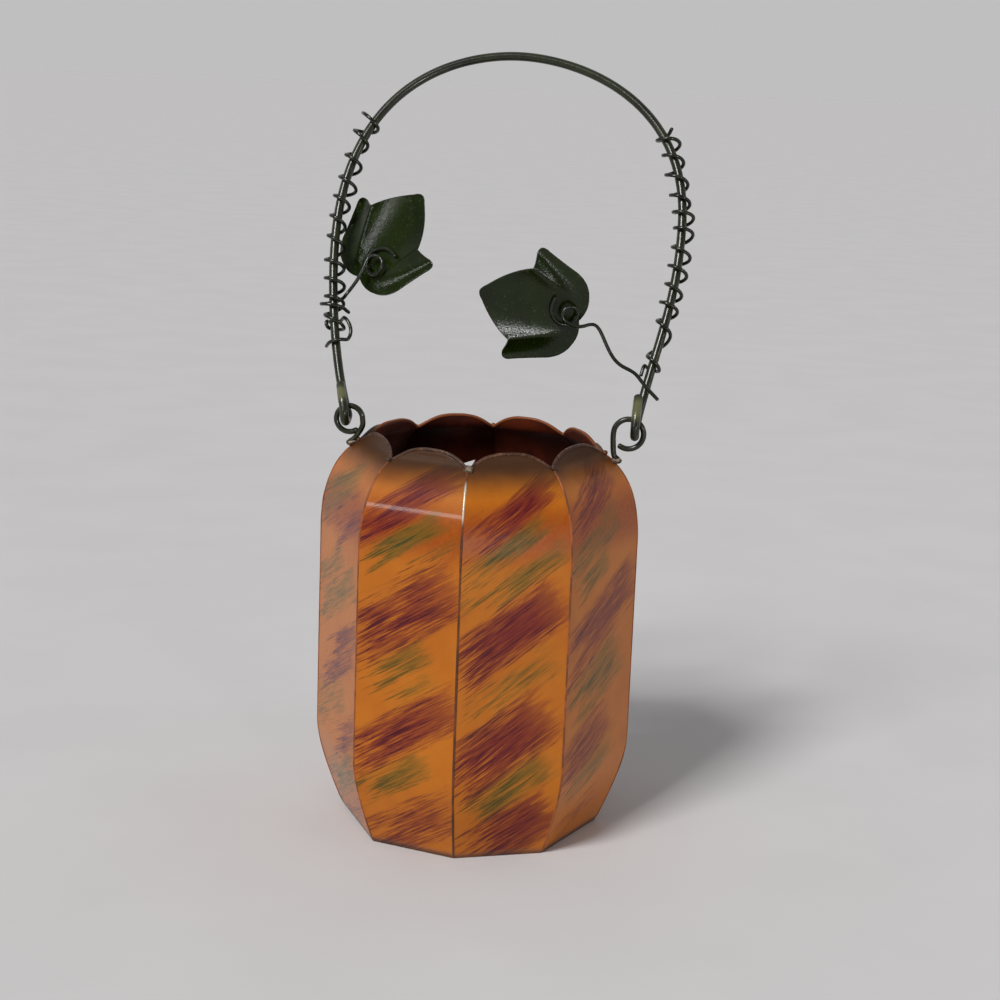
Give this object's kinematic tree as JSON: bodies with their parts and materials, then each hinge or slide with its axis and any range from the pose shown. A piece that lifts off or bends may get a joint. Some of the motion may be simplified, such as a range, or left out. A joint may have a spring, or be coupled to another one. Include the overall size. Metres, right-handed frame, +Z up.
{
  "type": "tea light lantern",
  "caption": "Jack-o-lantern tea light holder: painted sheet-metal pumpkin body with a hinged wire bail handle, wound wire vines and stamped leaves.",
  "frame": {"origin": "centre of the base, on the table", "axes": "+Z up, +Y towards the carved face, -Y towards the plain back, +X to the right seen from the back; the handle's hinge axis runs along X"},
  "size_m": [0.1002, 0.0894, 0.2047],
  "materials": {
    "panel": "glossy lacquered orange with maroon and olive brushed bands",
    "tin": "dark brown satin paint",
    "handle": "dark green gloss paint",
    "vine": "dark green gloss paint",
    "leaf": "dark olive green gloss paint"
  },
  "bodies": {
    "lantern": {"back_right_panel": "panel", "right_back_panel": "panel", "right_front_panel": "panel", "front_right_panel": "panel", "front_left_panel": "panel", "left_front_panel": "panel", "left_back_panel": "panel", "back_left_panel": "panel", "base_plate": "tin", "candle_cup": "tin", "left_ring": "handle", "right_ring": "handle"},
    "handle": {"handle_wire": "handle", "left_vine_coil": "vine", "right_vine_coil": "vine", "left_leaf_stem": "vine", "right_leaf_stem": "vine", "left_leaf": "leaf", "right_leaf": "leaf"}
  },
  "joints": [
    {"name": "handle_swing", "type": "hinge", "parent": "lantern", "child": "handle", "pos_m": [0, 0, 0.111], "axis": [1, 0, 0], "range_deg": [-34, 86]}
  ]
}
